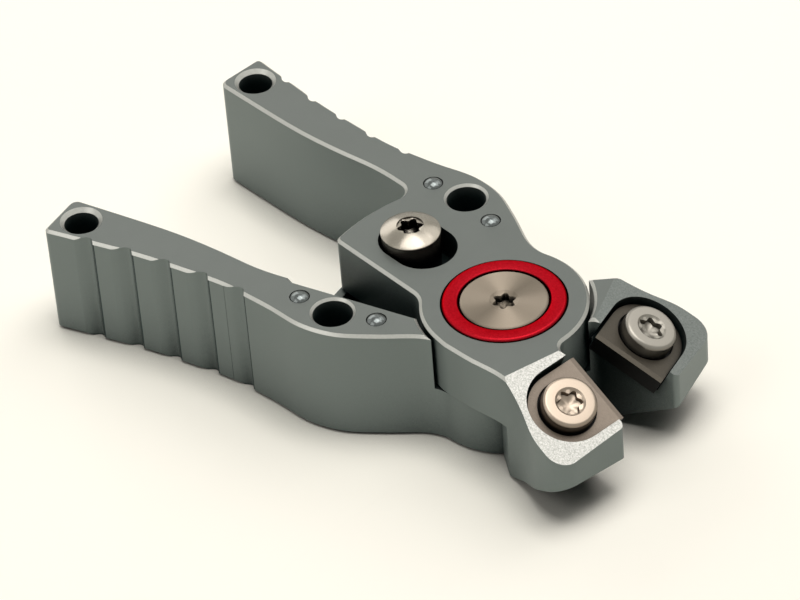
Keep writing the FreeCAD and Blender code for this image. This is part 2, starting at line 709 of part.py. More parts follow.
def lower_lock_and_stop(body, lap):
    """Seat of the thrust washer, track of the lock pin and arc slot of the stop pin."""
    seat = sketch_on(body, "washer_seat", lap)
    circle(seat, "Sizes.washer_radius + Sizes.side_play")
    pocket(body, seat, "Sizes.washer_thickness + Sizes.washer_play * 2 - Sizes.lap_gap")
    swing = 2 * size["half_open_angle"]
    radius = size["lock_pin_radius"] + size["lock_pin_clearance"]
    depth = "Sizes.lock_pin_length + Sizes.lock_pin_clearance"
    rest = size["lock_rest_x"]
    travel = size["lock_travel"]
    track = arc_slot(sketch_on(body, "lock_track", lap), rest, radius, 180 - swing, 180)
    pocket(body, track, depth)
    notch = straight_slot(sketch_on(body, "lock_notch", lap), -rest, -rest + travel, radius)
    pocket(body, notch, depth)
    # At the open end the track runs out through the edge of the wing
    turn = math.radians(180 - swing)
    ahead = Vector(-math.sin(turn), math.cos(turn), 0)
    outward = Vector(math.cos(turn), math.sin(turn), 0)
    corners = []
    for reach, side in ((rest + radius, 1), (rest - travel - radius, 1),
                        (rest - travel - radius, -4), (rest + radius, -4)):
        point = outward * reach + ahead * (side * radius)
        corners.append((point.x, point.y))
    relief = sketch_on(body, "lock_relief", lap)
    draw(relief, corners[-1], [("line", corner) for corner in corners])
    pocket(body, relief, depth)
    stop = 180 + size["stop_pin_angle"]
    arc = arc_slot(sketch_on(body, "stop_slot", lap), size["stop_pin_reach"],
                   size["stop_pin_radius"] + size["stop_clearance"], stop - swing, stop)
    pocket(body, arc, "Sizes.stop_pin_length - Sizes.stop_pin_hole_depth + Sizes.stop_clearance")


lever("upper_lever", UPPER)
lever("lower_lever", LOWER)


# Cutters and their screws

def cutter(label, hand):
    body = new_body(label)
    start, steps = cutter_outline(hand, 0, 0, 0)
    pad(body, draw(sketch_on(body, "blank"), start, steps, hand), "Sizes.cutter_thickness", upward=False)
    hole = circle(sketch_on(body, "screw_hole"), "Sizes.cutter_bore_radius")
    pocket(body, hole, "Sizes.cutter_thickness")
    sink = circle(sketch_on(body, "head_sink"), "Sizes.cutter_sink_radius")
    pocket(body, sink, "Sizes.cutter_sink_depth")
    # A bevel above the cutting edge; the face under it leans back
    relief = sketch_on(body, "edge_relief", role="YZ_Plane")
    edge = hand * size["cutter_centre"]
    drop = size["cutter_thickness"] + 1
    lean = drop * math.tan(math.radians(size["cutter_relief"]))
    bevel = (edge - hand * size["cutter_bevel"], 0)
    draw(relief, bevel, [
        ("line", (edge, -size["cutter_bevel_drop"])),
        ("line", (edge - hand * lean, -drop)), ("line", (edge + hand, -drop)),
        ("line", (edge + hand, 0)), ("line", bevel)])
    cut = body.newObject("PartDesign::Pocket", "edge_relief_cut")
    cut.Profile = relief
    cut.Midplane = True
    sized(cut, Length="Sizes.cutter_width * 2")
    body.Placement = opened(hand).multiply(slope_place(hand, size["cutter_recess"]))
    return body


def cutter_screw(label, hand):
    """Pan head screw; its head stands in the counterbore of the cutter."""
    body = new_body(label)
    head = size["cutter_screw_head_radius"]
    shank = size["cutter_screw_radius"]
    tall = size["cutter_screw_head_height"]
    dome = size["cutter_screw_dome"]
    flat = head - dome
    profile = sketch_on(body, "profile", role="XZ_Plane")
    draw(profile, (0, -size["cutter_screw_length"]), [
        ("line", (shank - 0.3, -size["cutter_screw_length"])),
        ("line", (shank, 0.3 - size["cutter_screw_length"])),
        ("line", (shank, 0)),
        ("line", (head, 0)),
        ("line", (head, tall - dome)),
        ("line", (flat + dome * 0.74, tall - dome * 0.26)),
        ("line", (flat, tall)),
        ("line", (0, tall)),
        ("line", (0, -size["cutter_screw_length"]))])
    revolve(body, profile, "turned_blank")
    socket(body, "socket", "small_socket_radius", "Sizes.cutter_screw_head_height", "Sizes.socket_depth")
    sink = size["cutter_recess"] + size["cutter_sink_depth"]
    body.Placement = opened(hand).multiply(slope_place(hand, sink))
    return body


for prefix, hand in (("upper", UPPER), ("lower", LOWER)):
    cutter(prefix + "_cutter_insert", hand)
    cutter_screw(prefix + "_insert_screw", hand)


# Pivot, from the underside up

def ring(label, inner, outer, low, high, hand=UPPER, rounding=0):
    """A plain turned ring about the pivot axis."""
    body = new_body(label)
    profile = sketch_on(body, "profile", role="XZ_Plane")
    draw(profile, (inner, low), [
        ("line", (outer, low)), ("line", (outer, high)), ("line", (inner, high)), ("line", (inner, low))])
    revolve(body, profile, "turned_ring")
    body.Placement = opened(hand)
    return body


def collar(label, hand):
    """Cup washer: a rim round the disc and a thin floor under it."""
    body = new_body(label)
    outer = size["collar_radius"]
    inner = size["disc_radius"] + size["disc_gap"]
    bore = size["barrel_radius"] + size["running_clearance"] + size["thread_clearance"]
    tall = size["collar_height"]
    web = size["collar_web"]
    soft = size["collar_rounding"]
    profile = sketch_on(body, "profile", role="XZ_Plane")
    draw(profile, (bore, 0), [
        ("line", (outer, 0)),
        ("line", (outer, tall - soft)),
        ("line", (outer - soft, tall)),
        ("line", (inner + 0.1, tall)),
        ("line", (inner, tall - 0.1)),
        ("line", (inner, web)),
        ("line", (bore, web)),
        ("line", (bore, 0))])
    revolve(body, profile, "turned_cup")
    if hand == UPPER:
        level = size["plate_height"] + size["collar_proud"] - tall
        body.Placement = Placement(Vector(0, 0, level), opened(hand).Rotation)
    else:
        body.Placement = Placement(Vector(0, 0, tall), Rotation(Vector(1, 0, 0), 180))
    return body


def disc_level(hand):
    """Height of the disc's inner face, on the floor of its collar."""
    web = size["collar_web"] + 0.02
    if hand == UPPER:
        return size["plate_height"] + size["collar_proud"] - size["collar_height"] + web
    return size["collar_height"] - web


def pivot_screw():
    body = new_body("pivot_screw")
    disc = size["disc_radius"]
    shank = size["pivot_thread_radius"]
    deep = size["pivot_thread_length"]
    tall = size["disc_height"]
    profile = sketch_on(body, "profile", role="XZ_Plane")
    draw(profile, (0, -deep), [
        ("line", (shank - 0.3, -deep)), ("line", (shank, 0.3 - deep)), ("line", (shank, 0)),
        ("line", (disc, 0)), ("line", (disc, tall - 0.12)), ("line", (disc - 0.12, tall)),
        ("line", (0, tall)), ("line", (0, -deep))])
    revolve(body, profile, "turned_blank")
    socket(body, "socket", "small_socket_radius", "Sizes.disc_height", "Sizes.socket_depth")
    body.Placement = Placement(Vector(0, 0, disc_level(UPPER)), Rotation())
    return body


def pivot_barrel():
    """Shouldered nut: disc below, bearing surface above, threaded from the top."""
    body = new_body("pivot_barrel")
    low = disc_level(LOWER)
    top = disc_level(UPPER) - 0.05
    disc = size["disc_radius"]
    shaft = size["barrel_radius"]
    bore = size["pivot_thread_radius"] + size["thread_clearance"]
    foot = 0
    stop = disc_level(UPPER) - size["pivot_thread_length"] - 0.4
    profile = sketch_on(body, "profile", role="XZ_Plane")
    draw(profile, (0, foot), [
        ("line", (disc - 0.12, foot)), ("line", (disc, foot + 0.12)), ("line", (disc, low)),
        ("line", (shaft, low)), ("line", (shaft, top - 0.2)), ("line", (shaft - 0.2, top)),
        ("line", (bore, top)), ("line", (bore, stop)), ("line", (0, stop - 0.6)), ("line", (0, foot))])
    revolve(body, profile, "turned_blank")
    return body


collar("upper_pivot_collar", UPPER)
collar("lower_pivot_collar", LOWER)
pivot_screw()
pivot_barrel()

bush_inner = size["barrel_radius"] + size["running_clearance"]
bush_outer = bush_inner + size["bush_wall"]
upper_lap = (size["plate_height"] + size["lap_gap"]) / 2
lower_lap = (size["plate_height"] - size["lap_gap"]) / 2
pocket_roof = upper_lap + size["spring_pocket_depth"]
pocket_floor = lower_lap - size["spring_pocket_depth"]
collar_seat = size["plate_height"] + size["collar_proud"] - size["collar_height"]
ring("upper_pivot_bush", bush_inner, bush_outer, pocket_roof + 0.05, collar_seat - 0.02)
ring("lower_pivot_bush", size["barrel_radius"] + size["thread_clearance"], bush_outer,
     size["collar_height"] + 0.02, pocket_floor - 0.05, LOWER)
washer_top = upper_lap - size["washer_play"]
ring("thrust_washer", size["washer_inner_radius"], size["washer_radius"],
     washer_top - size["washer_thickness"], washer_top, LOWER)


def return_spring():
    """Torsion spring of square wire round the barrel, one straight leg held by each lever."""
    wire = size["spring_wire"]
    radius = size["spring_radius"]
    low = pocket_floor + wire / 2 + 0.1
    high = pocket_roof - wire / 2 - 0.1
    first_turn = 90 + size["half_open_angle"]
    wound = 360 * int(size["spring_turns"]) + 180 - 2 * size["half_open_angle"]
    rise = high - low
    coil = Part.makeHelix(rise * 360 / wound, rise, radius)
    corners = [Vector(radius + x, 0, z) for x, z in (
        (-wire / 2, -wire / 2), (wire / 2, -wire / 2), (wire / 2, wire / 2), (-wire / 2, wire / 2))]
    section = Part.makePolygon(corners + corners[:1])
    shape = Part.Wire(coil.Edges).makePipeShell([section], True, True)
    leg = math.sqrt(size["spring_leg"] ** 2 - radius ** 2)
    for turn, level, back in ((0, 0, 1), (wound, rise, 0)):
        bar = Part.makeBox(wire, leg, wire, Vector(radius - wire / 2, -leg * back, level - wire / 2))
        bar.rotate(Vector(), UP, turn)
        shape = shape.fuse(bar)
    shape = shape.removeSplitter()
    feature = doc.addObject("Part::Feature", "return_spring")
    feature.Label = "return_spring"
    feature.Shape = shape
    feature.Placement = Placement(Vector(0, 0, low), Rotation(UP, first_turn))
    return feature


return_spring()


# Sliding lock

def lock_button():
    body = new_body("lock_button")
    rim = size["button_radius"]
    shank = size["button_shank_radius"]
    foot = -size["lock_slot_depth"] + 0.05
    rim_height = size["button_rim_height"]
    dome = size["button_dome"]
    low = foot - (size["plate_height"] / 2 - size["lap_gap"] / 2 - size["lock_slot_depth"]) + 0.4
    profile = sketch_on(body, "profile", role="XZ_Plane")
    draw(profile, (0, low), [
        ("line", (shank, low)), ("line", (shank, foot)), ("line", (rim - 0.1, foot)),
        ("line", (rim - 0.1, rim_height - 0.15)), ("line", (rim, rim_height - 0.05)),
        ("arc", (rim * 0.62, rim_height + dome * 0.62), (0.45, rim_height + dome)),
        ("line", (0, rim_height + dome)), ("line", (0, low))])
    revolve(body, profile, "turned_blank")
    socket(body, "socket", "button_socket_radius", "Sizes.button_rim_height + Sizes.button_dome",
           "Sizes.socket_depth * 1.6")
    place = Placement(Vector(-size["lock_rest_x"], 0, size["plate_height"]), Rotation())
    body.Placement = opened(UPPER).multiply(place)
    return body


def lock_slider():
    """Block that the button is screwed into, with the locking pin under it."""
    body = new_body("lock_slider")
    long = size["slider_length"] / 2
    wide = size["slider_width"] / 2
    block = sketch_on(body, "block")
    draw(block, (-long, -wide), [
        ("line", (long, -wide)), ("line", (long, wide)), ("line", (-long, wide)), ("line", (-long, -wide))])
    pad(body, block, "Sizes.slider_thickness")
    tapped = circle(sketch_on(body, "tapped_hole", "Sizes.slider_thickness"),
                    "Sizes.button_shank_radius + Sizes.thread_clearance")
    pocket(body, tapped, "Sizes.slider_thickness - 0.3")
    pin = circle(sketch_on(body, "pin"), "Sizes.lock_pin_radius")
    pad(body, pin, "Sizes.lock_pin_length", upward=False)
    place = Placement(Vector(-size["lock_rest_x"], 0, upper_lap + size["slider_clearance"] / 2), Rotation())
    body.Placement = opened(UPPER).multiply(place)
    return body


lock_button()
lock_slider()


# Pins

def pin(label, radius, length, place, dome=0):
    """A plain pin, with a domed upper end where told so."""
    body = new_body(label)
    profile = sketch_on(body, "profile", role="XZ_Plane")
    steps = [("line", (radius - 0.1, -length)), ("line", (radius, 0.1 - length)), ("line", (radius, 0))]
    if dome:
        steps += [("line", (radius * 0.72, dome * 0.68)), ("line", (radius * 0.3, dome))]
    steps += [("line", (0, dome)), ("line", (0, -length))]
    draw(profile, (0, -length), steps)
    revolve(body, profile, "turned_pin")
    body.Placement = place
    return body


for prefix, hand in (("upper", UPPER), ("lower", LOWER)):
    for where in ("rear", "front"):
        spot = Vector(-size[f"dowel_{where}_x"], hand * size[f"dowel_{where}_y"], size["plate_height"] - 0.1)
        pin(f"{prefix}_{where}_dowel", size["dowel_radius"], size["dowel_length"] - 0.2,
            opened(hand).multiply(Placement(spot, Rotation())), size["dowel_dome"])

stop_x, stop_y = turned(180 + size["stop_pin_angle"], size["stop_pin_reach"])
stop_top = upper_lap + size["stop_pin_hole_depth"] - 0.05
pin("stop_pin", size["stop_pin_radius"], size["stop_pin_length"],
    opened(UPPER).multiply(Placement(Vector(stop_x, stop_y, stop_top), Rotation())))


# Check everything, then write one file for each piece

doc.recompute()
pieces = [item for item in doc.Objects if item.TypeId in ("PartDesign::Body", "Part::Feature")]
for item in doc.Objects:
    faults = {"Invalid", "Error"} & set(item.State)
    if faults:
        raise RuntimeError(f"{item.Label} is {sorted(faults)}")
for piece in pieces:
    if piece.Shape.isNull() or not piece.Shape.isValid() or not piece.Shape.Solids:
        raise RuntimeError(f"{piece.Label} has no valid solid")
for piece in pieces:
    piece.Shape.exportStep(f"parts/{piece.Label}.step")
    box = piece.Shape.BoundBox
    print(f"{piece.Label:22s} solids {len(piece.Shape.Solids)} volume {piece.Shape.Volume:9.2f}"
          f"  z {box.ZMin:6.2f} to {box.ZMax:6.2f}")
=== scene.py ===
import json
import math

import bmesh
import bpy
from mathutils import Matrix, Vector


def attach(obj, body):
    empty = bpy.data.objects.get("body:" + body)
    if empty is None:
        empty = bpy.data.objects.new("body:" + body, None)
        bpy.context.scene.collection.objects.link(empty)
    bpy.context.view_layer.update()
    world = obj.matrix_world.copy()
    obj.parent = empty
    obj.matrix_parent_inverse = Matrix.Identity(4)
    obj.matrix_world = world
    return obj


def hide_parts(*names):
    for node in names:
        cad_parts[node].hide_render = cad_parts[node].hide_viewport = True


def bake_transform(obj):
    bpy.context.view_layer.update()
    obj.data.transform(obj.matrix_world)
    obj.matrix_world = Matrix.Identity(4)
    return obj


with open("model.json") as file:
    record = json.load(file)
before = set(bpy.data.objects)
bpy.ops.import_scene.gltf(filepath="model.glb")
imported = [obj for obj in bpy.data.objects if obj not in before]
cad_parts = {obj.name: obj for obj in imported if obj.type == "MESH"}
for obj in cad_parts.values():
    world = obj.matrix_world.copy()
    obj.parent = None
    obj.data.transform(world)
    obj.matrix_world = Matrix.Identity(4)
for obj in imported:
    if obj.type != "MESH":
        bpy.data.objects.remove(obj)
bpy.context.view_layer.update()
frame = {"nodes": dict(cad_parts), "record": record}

# Micro nipper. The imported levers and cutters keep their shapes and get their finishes
# here. The turned pieces that catch the light, such as screw heads, collars and domed
# pins, are made again with their rounded edges, countersinks and sockets.
#
# The origin is on the pivot axis at the underside, X points to the jaws and Z up.
# Shapes are worked out in mm, finishes and the studio in metres.

MM = 0.001
UPPER, LOWER = 1, -1        # hand of a lever: the side of its handle along Y
PLATE = 12.7                # thickness of the levers
HALF_OPEN = 10.4            # degrees by which each lever is open at rest
COLLAR_PROUD = 0.25         # red collar above the lever

# How finishes find deep gaps and the foot of each step, where they paint shade: how far they
# look for open room, the share of it below which a spot counts as shut in, and how fast it
# clears above that.
GAP_REACH, GAP_SHUT, GAP_GAIN = 0.016, 0.30, 4.0
STEP_REACH, STEP_SHUT, STEP_GAIN = 0.00045, 0.42, 2.2

# Grains per metre, and depths in metres
BEADS, CLOUDS = 9000.0, 260.0
BEAD_DEPTH, GRINDING_DEPTH, DRAWING_DEPTH = 0.00003, 0.00002, 0.00001


# Finishes

class Signal:
    """A shader socket that can be used in ordinary arithmetic."""

    def __init__(self, finish, socket):
        self.finish = finish
        self.socket = socket

    def _math(self, operation, first, second=0.0):
        return self.finish.node(
            "ShaderNodeMath", {"operation": operation}, {0: first, 1: second})

    def __add__(self, other):
        return self._math("ADD", self, other)

    def __radd__(self, other):
        return self._math("ADD", other, self)

    def __sub__(self, other):
        return self._math("SUBTRACT", self, other)

    def __rsub__(self, other):
        return self._math("SUBTRACT", other, self)

    def __mul__(self, other):
        return self._math("MULTIPLY", self, other)

    def __rmul__(self, other):
        return self._math("MULTIPLY", other, self)

    def __truediv__(self, other):
        return self._math("DIVIDE", self, other)

    def __rtruediv__(self, other):
        return self._math("DIVIDE", other, self)

    def __abs__(self):
        return self._math("ABSOLUTE", self)

    def more_than(self, other):
        return self._math("GREATER_THAN", self, other)

    def less_than(self, other):
        return self._math("LESS_THAN", self, other)

    def at_most(self, other):
        return self._math("MINIMUM", self, other)

    def at_least(self, other):
        return self._math("MAXIMUM", self, other)

    def between(self, low, high):
        """1 where the value is between two limits, 0 elsewhere."""
        return self.more_than(low) * self.less_than(high)

    def clipped(self):
        return self.at_least(0.0).at_most(1.0)


class Finish:
    """One material, or the world, built from nodes."""

    def __init__(self, name, world=None):
        self.block = world or bpy.data.materials.new(name)
        self.block.use_nodes = True
        self.tree = self.block.node_tree
        self.tree.nodes.clear()

    def node(self, kind, settings=None, sockets=None, out=0):
        """Add a node: its settings first, then the values or links of its sockets."""
        made = self.tree.nodes.new(kind)
        for key, value in (settings or {}).items():
            if key == "stops":
                while len(made.color_ramp.elements) < len(value):
                    made.color_ramp.elements.new(0.5)
                for stop, (place, shade) in zip(made.color_ramp.elements, value):
                    stop.position = place
                    stop.color = shade
            else:
                setattr(made, key, value)
        for key, value in (sockets or {}).items():
            if isinstance(value, Signal):
                self.tree.links.new(value.socket, made.inputs[key])
            else:
                made.inputs[key].default_value = value
        return Signal(self, made.outputs[out])

    def mix(self, share, first, second):
        """Colour between two colours by a value. 6, 7 and 2 are its colour sockets."""
        return self.node(
            "ShaderNodeMix", {"data_type": "RGBA"}, {0: share, 6: first, 7: second}, out=2)

    def place(self):
        """Where a spot is on its piece, so that a pattern moves with it."""
        return self.node("ShaderNodeTexCoord", out="Object")

    def facing(self):
        """The direction a face looks in."""
        return self.node("ShaderNodeNewGeometry", out="True Normal")

    def axis(self, vector, letter):
        return self.node("ShaderNodeSeparateXYZ", {}, {0: vector}, out=letter)

    def grain(self, scale, detail, roughness=0.6, stretch=None):
        """Fine noise fixed to the piece, in grains per metre."""
        where = self.place()
        if stretch:
            where = self.node("ShaderNodeMapping", {}, {"Vector": where, "Scale": stretch})
        return self.node("ShaderNodeTexNoise", {}, {
            "Vector": where, "Scale": scale, "Detail": detail, "Roughness": roughness})

    def ramp(self, share, *stops):
        return self.node("ShaderNodeValToRGB", {"stops": stops}, {0: share})

    def bump(self, height, strength, distance):
        return self.node("ShaderNodeBump", {}, {
            "Height": height, "Strength": strength, "Distance": distance})

    def opening(self, reach, shut, gain):
        """1 in the open, falling to 0 where less than a share of the room is open."""
        room = self.node(
            "ShaderNodeAmbientOcclusion", {"samples": 8}, {"Distance": reach}, out="AO")
        return ((room - shut) * gain).clipped()

    def shade_gaps(self, colour, dark, shut=GAP_SHUT, step=STEP_REACH):
        """Darken the inside of holes, slots and joints, and the foot of each step, with
        painted shade.
        """
        room = self.opening(GAP_REACH, shut, GAP_GAIN)
        foot = self.opening(step, STEP_SHUT, STEP_GAIN)
        return self.mix(room * foot, dark, colour)

    def surface(self, **values):
        """Close the material with one principled shader."""
        sockets = {key.replace("_", " "): value for key, value in values.items()}
        self.finish_with(self.node("ShaderNodeBsdfPrincipled", {}, sockets))
        return self.block

    def finish_with(self, shader, kind="ShaderNodeOutputMaterial"):
        output = self.tree.nodes.new(kind)
        self.tree.links.new(shader.socket, output.inputs["Surface"])


def tint(red, green, blue):
    """Colour as a socket takes it."""
    return (red, green, blue, 1.0)


def painted_groove_shade(finish, normal):
    """Painted shade: a dark line at the foot of each finger groove's crest, on the outside of
    a handle.

    The first crest is at the end of the handle and the last one nearest to the pivot.
    """
    first, pitch, crests = 41.63, 4.44, 5
    width, strength = 0.7, 1.3
    behind, ahead = 1.0, 0.05
    x = finish.axis(finish.place(), "X")
    y = finish.axis(finish.place(), "Y")
    outward = (finish.axis(normal, "Y") * y).more_than(0.0)
    turn = math.radians(HALF_OPEN)
    back = (abs(y) * math.sin(turn) - x * math.cos(turn)) / MM
    past_crest = finish.node(
        "ShaderNodeMath", {"operation": "FRACT"}, {0: (back - first) / pitch}) * pitch
    line = (strength - past_crest * (strength / width)).clipped()
    last = first - pitch * (crests - 1)
    return line * outward * back.less_than(first + behind) * back.more_than(last - ahead)


def blasted_aluminium(name, taper_dark, taper_light):
    """Bead-blasted, grey anodised aluminium, with a painted highlight on its bevels, painted
    light on its walls and tapers, and painted shade in its grooves and gaps.
    """
    finish = Finish(name)
    normal = finish.facing()
    upright = abs(finish.axis(normal, "Z"))     # 1 on the top, 0 on walls
    bevel = upright.between(0.6, 0.8)
    taper = upright.between(0.86, 0.93)
    wall = upright.less_than(0.3)
    # Painted shade: a dark line at the foot of each finger groove's crest, on the walls.
    groove_shade = wall * painted_groove_shade(finish, normal)
    beads = finish.grain(BEADS, 4.0)
    pits = finish.grain(6000.0, 4.0, 0.7)
    cloud = finish.grain(CLOUDS, 3.0)
    # Walls take a lighter, greener colour than tops: painted light for how light falls on
    # each. The cloud and bead grain is the blasting's own.
    top = finish.mix(cloud, tint(0.084, 0.093, 0.087), tint(0.101, 0.111, 0.104))
    top = finish.mix(beads.at_most(0.75) * 0.5, top, tint(0.122, 0.133, 0.125))
    side = finish.mix(beads, tint(0.152, 0.182, 0.176), tint(0.182, 0.216, 0.210))
    body = finish.mix(wall * 0.95, top, side)
    # Paint that shade in near-black teal.
    body = finish.mix(groove_shade, body, tint(0.02, 0.035, 0.035))
    # Tapers: the pitted grain is their own, but their tone, set per lever, is painted light:
    # lighter on the upper lever, darker on the lower.
    taper_grain_and_painted_light = finish.ramp(pits, (0.34, taper_dark), (0.66, taper_light))
    # Bevels take a brighter colour: a painted highlight along the edges.
    painted_bevel_highlight = finish.mix(beads, tint(0.27, 0.27, 0.255), tint(0.42, 0.42, 0.397))
    colour = finish.mix(taper, body, taper_grain_and_painted_light)
    colour = finish.mix(bevel, colour, painted_bevel_highlight)
    return finish.surface(
        # Painted shade, teal-black, in holes, slots and joints and at the foot of each step.
        Base_Color=finish.shade_gaps(colour, tint(0.003, 0.010, 0.010)),
        Metallic=0.55 + (bevel + taper) * 0.3,
        Roughness=(beads * 0.22 + 0.34) - bevel * 0.06,
        Normal=finish.bump(beads + taper * pits, 0.35, BEAD_DEPTH))


def red_anodising():
    """Clear red over blasted aluminium."""
    finish = Finish("red_anodising")
    beads = finish.grain(8000.0, 3.0, 0.7)
    colour = finish.ramp(
        beads, (0.3, tint(0.175, 0.0035, 0.007)), (0.72, tint(0.335, 0.0085, 0.016)))
    return finish.surface(
        # Painted shade, deep red, in holes, slots and joints.
        Base_Color=finish.shade_gaps(colour, tint(0.03, 0.001, 0.002)),
        Metallic=1.0, Roughness=beads * 0.2 + 0.30, Specular_Tint=tint(1.0, 0.25, 0.25),
        Normal=finish.bump(beads, 0.3, BEAD_DEPTH))


def ground_carbide(name, dark, light, bevel):
    """Carbide ground along its edge, with its bevel painted darker and its sides painted near
    black as shade.
    """
    finish = Finish(name)
    fine = finish.grain(BEADS, 4.0)
    lines = finish.grain(900.0, 4.0, 0.6, (1.0, 10.0, 10.0))
    upright = abs(finish.axis(finish.facing(), "Z"))
    colour = finish.mix(lines, dark, light)
    # Painted shade: the bevel takes a darker colour, the sides a near-black one.
    colour = finish.mix(upright.less_than(0.87), colour, bevel)
    colour = finish.mix(upright.less_than(0.6), colour, tint(0.003, 0.003, 0.003))
    return finish.surface(
        # Painted shade, black, in holes and gaps.
        Base_Color=finish.shade_gaps(colour, tint(0.0, 0.0, 0.0)),
        Metallic=0.75, Roughness=fine * 0.2 + 0.38,
        Normal=finish.bump(fine, 0.18, GRINDING_DEPTH))


def steel(name, dark, light, smooth, spread, marks=6000.0, shut=0.32, step=STEP_REACH):
    """Turned or drawn metal between two tones, with its least roughness and its spread."""
    finish = Finish(name)
    fine = finish.grain(marks, 4.0)
    colour = finish.mix(fine, dark, light)
    return finish.surface(
        # Painted shade, near black, in holes, sockets and gaps and at the foot of each step.
        Base_Color=finish.shade_gaps(colour, tint(0.004, 0.004, 0.004), shut, step),
        Metallic=1.0, Roughness=fine * spread + smooth,
        Normal=finish.bump(fine, 0.06, DRAWING_DEPTH))


def faced_steel(name, dark, light, smooth, stretch):
    """Steel faced on the lathe: its rings stretch highlights away from the middle."""
    finish = Finish(name)
    fine = finish.grain(BEADS, 3.0)
    colour = finish.mix(fine, dark, light)
    return finish.surface(
        # Painted shade, near black, in holes, sockets and gaps and at the foot of each step.
        Base_Color=finish.shade_gaps(colour, tint(0.002, 0.002, 0.002), 0.32),
        Metallic=1.0, Roughness=fine * 0.06 + smooth,
        Anisotropic=stretch, Anisotropic_Rotation=0.25)


# Under the name of a slot, of a piece that differs from its slot, or of turned work.
FINISHES = {
    # Both levers share this finish but for their tapers: the upper lever's are painted
    # lighter and the lower lever's darker, for how light falls on each.
    "anodised_grey": blasted_aluminium(
        "upper_lever_blasting_painted_light", tint(0.19, 0.19, 0.18), tint(0.39, 0.385, 0.365)),
    "lower_lever": blasted_aluminium(
        "lower_lever_blasting_painted_shade", tint(0.082, 0.091, 0.087), tint(0.138, 0.149, 0.142)),
    "anodised_red": red_anodising(),
    "stainless": steel(
        "turned_stainless", tint(0.23, 0.187, 0.15), tint(0.285, 0.236, 0.193),
        0.29, 0.08, marks=12000.0, shut=0.12, step=0.0002),
    # The far screw's stainless: a darker copy, painted shade for how light falls on it.
    "stainless_painted_shaded": steel(
        "stainless_painted_shaded", tint(0.18, 0.168, 0.15), tint(0.232, 0.217, 0.193),
        0.33, 0.08, marks=12000.0, shut=0.12, step=0.0002),
    "carbide": ground_carbide(
        "ground_carbide", tint(0.108, 0.087, 0.07), tint(0.175, 0.143, 0.117),
        bevel=tint(0.03, 0.025, 0.02)),
    # The lower cutter's carbide: a darker copy, painted shade for how light falls on it.
    "lower_cutter_insert": ground_carbide(
        "carbide_painted_shaded", tint(0.036, 0.031, 0.024), tint(0.062, 0.053, 0.041),
        bevel=tint(0.005, 0.004, 0.004)),
    "polished_steel": steel(
        "polished_steel", tint(0.42, 0.385, 0.33), tint(0.53, 0.49, 0.425), 0.25, 0.10),
    # Its wider step reach paints shade round the rim of each dome.
    "domed_pins": steel(
        "domed_pins", tint(0.07, 0.08, 0.082), tint(0.14, 0.15, 0.148),
        0.17, 0.04, marks=24000.0, step=0.0011),
    "faced_steel": faced_steel(
        "faced_steel", tint(0.196, 0.162, 0.128), tint(0.238, 0.202, 0.163), 0.42, 1.0),
    "turned_button": faced_steel(
        "turned_button", tint(0.205, 0.186, 0.16), tint(0.285, 0.26, 0.224), 0.22, 0.7),
    "spring_steel": steel(
        "drawn_spring_wire", tint(0.30, 0.30, 0.31), tint(0.40, 0.40, 0.41), 0.25, 0.1),
    "bronze": steel(
        "bearing_bronze", tint(0.60, 0.38, 0.18), tint(0.70, 0.47, 0.25), 0.3, 0.12),
}

slot_of = {part["node"]: part["material_slot"] for part in frame["record"]["subparts"]}
for node, solid in frame["nodes"].items():
    for spot in solid.material_slots:
        spot.material = FINISHES.get(node) or FINISHES[slot_of[node]]


# Levers and return spring

def show(name, data):
    """Put an object into the scene."""
    made = bpy.data.objects.new(name, data)
    bpy.context.scene.collection.objects.link(made)
    return made


def copy_of_solid(name, node):
    """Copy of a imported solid, where the solid is."""
    solid = frame["nodes"][node]
    copy = show(name, solid.data.copy())
    copy.matrix_world = solid.matrix_world
    return copy


def lever_with_running_gap(name, node, body):
    """Lever whose counterbore for the collar is opened to its real running gap."""
    seat, opened_seat, near = 6.02 * MM, 6.29 * MM, 0.05 * MM
    lever = copy_of_solid(name, node)
    for corner in lever.data.vertices:
        radius = math.hypot(corner.co.x, corner.co.y)
        if abs(radius - seat) < near:
            corner.co.xy *= opened_seat / radius
    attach(lever, body)
    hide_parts(node)


def winding_spring():
    """Return spring, copied from its solid with its place baked into its mesh."""
    spring = copy_of_solid("winding_return_spring", "return_spring")
    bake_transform(spring)
    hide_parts("return_spring")


# Lathe work. A ring is its radius, its height and its lobes: a lobed ring is six-lobed
# and swings by that share of its radius.

def plain(*profile):
    """Round rings from pairs of radius and height."""
    return [(radius, height, 0.0) for radius, height in profile]


def round_edge(radius, height, soft, start, stop, steps):
    """Rings along a rounded edge, from one angle of its profile to another."""
    turns = [math.radians(start + (stop - start) * step / steps) for step in range(steps + 1)]
    return plain(*(
        (radius + soft * math.cos(turn), height + soft * math.sin(turn)) for turn in turns))


def dome(rim, rise, top, radii):
    """Rings at some radii of a dome that rises from its rim to its top."""
    ball = (rim * rim + rise * rise) / (2 * rise)
    return plain(*(
        (radius, top - ball + math.sqrt(ball * ball - radius * radius)) for radius in radii))


def six_lobe_socket(reach, top, depth, sink):
    """Rings of a six-lobe socket, from its countersink down to its floor."""
    lobes = 0.17
    mean = reach / (1 + lobes)
    floor = top - depth
    return [
        (sink, top, 0.0),
        (reach * 1.02, top - 0.16, 0.0),
        (mean, top - 0.2, lobes),
        (mean * 0.985, top - 0.27, lobes),
        (mean * 0.97, floor, lobes),
        (mean * 0.6, floor - 0.12, 0.0),
        (0.0, floor - 0.3, 0.0),
    ]


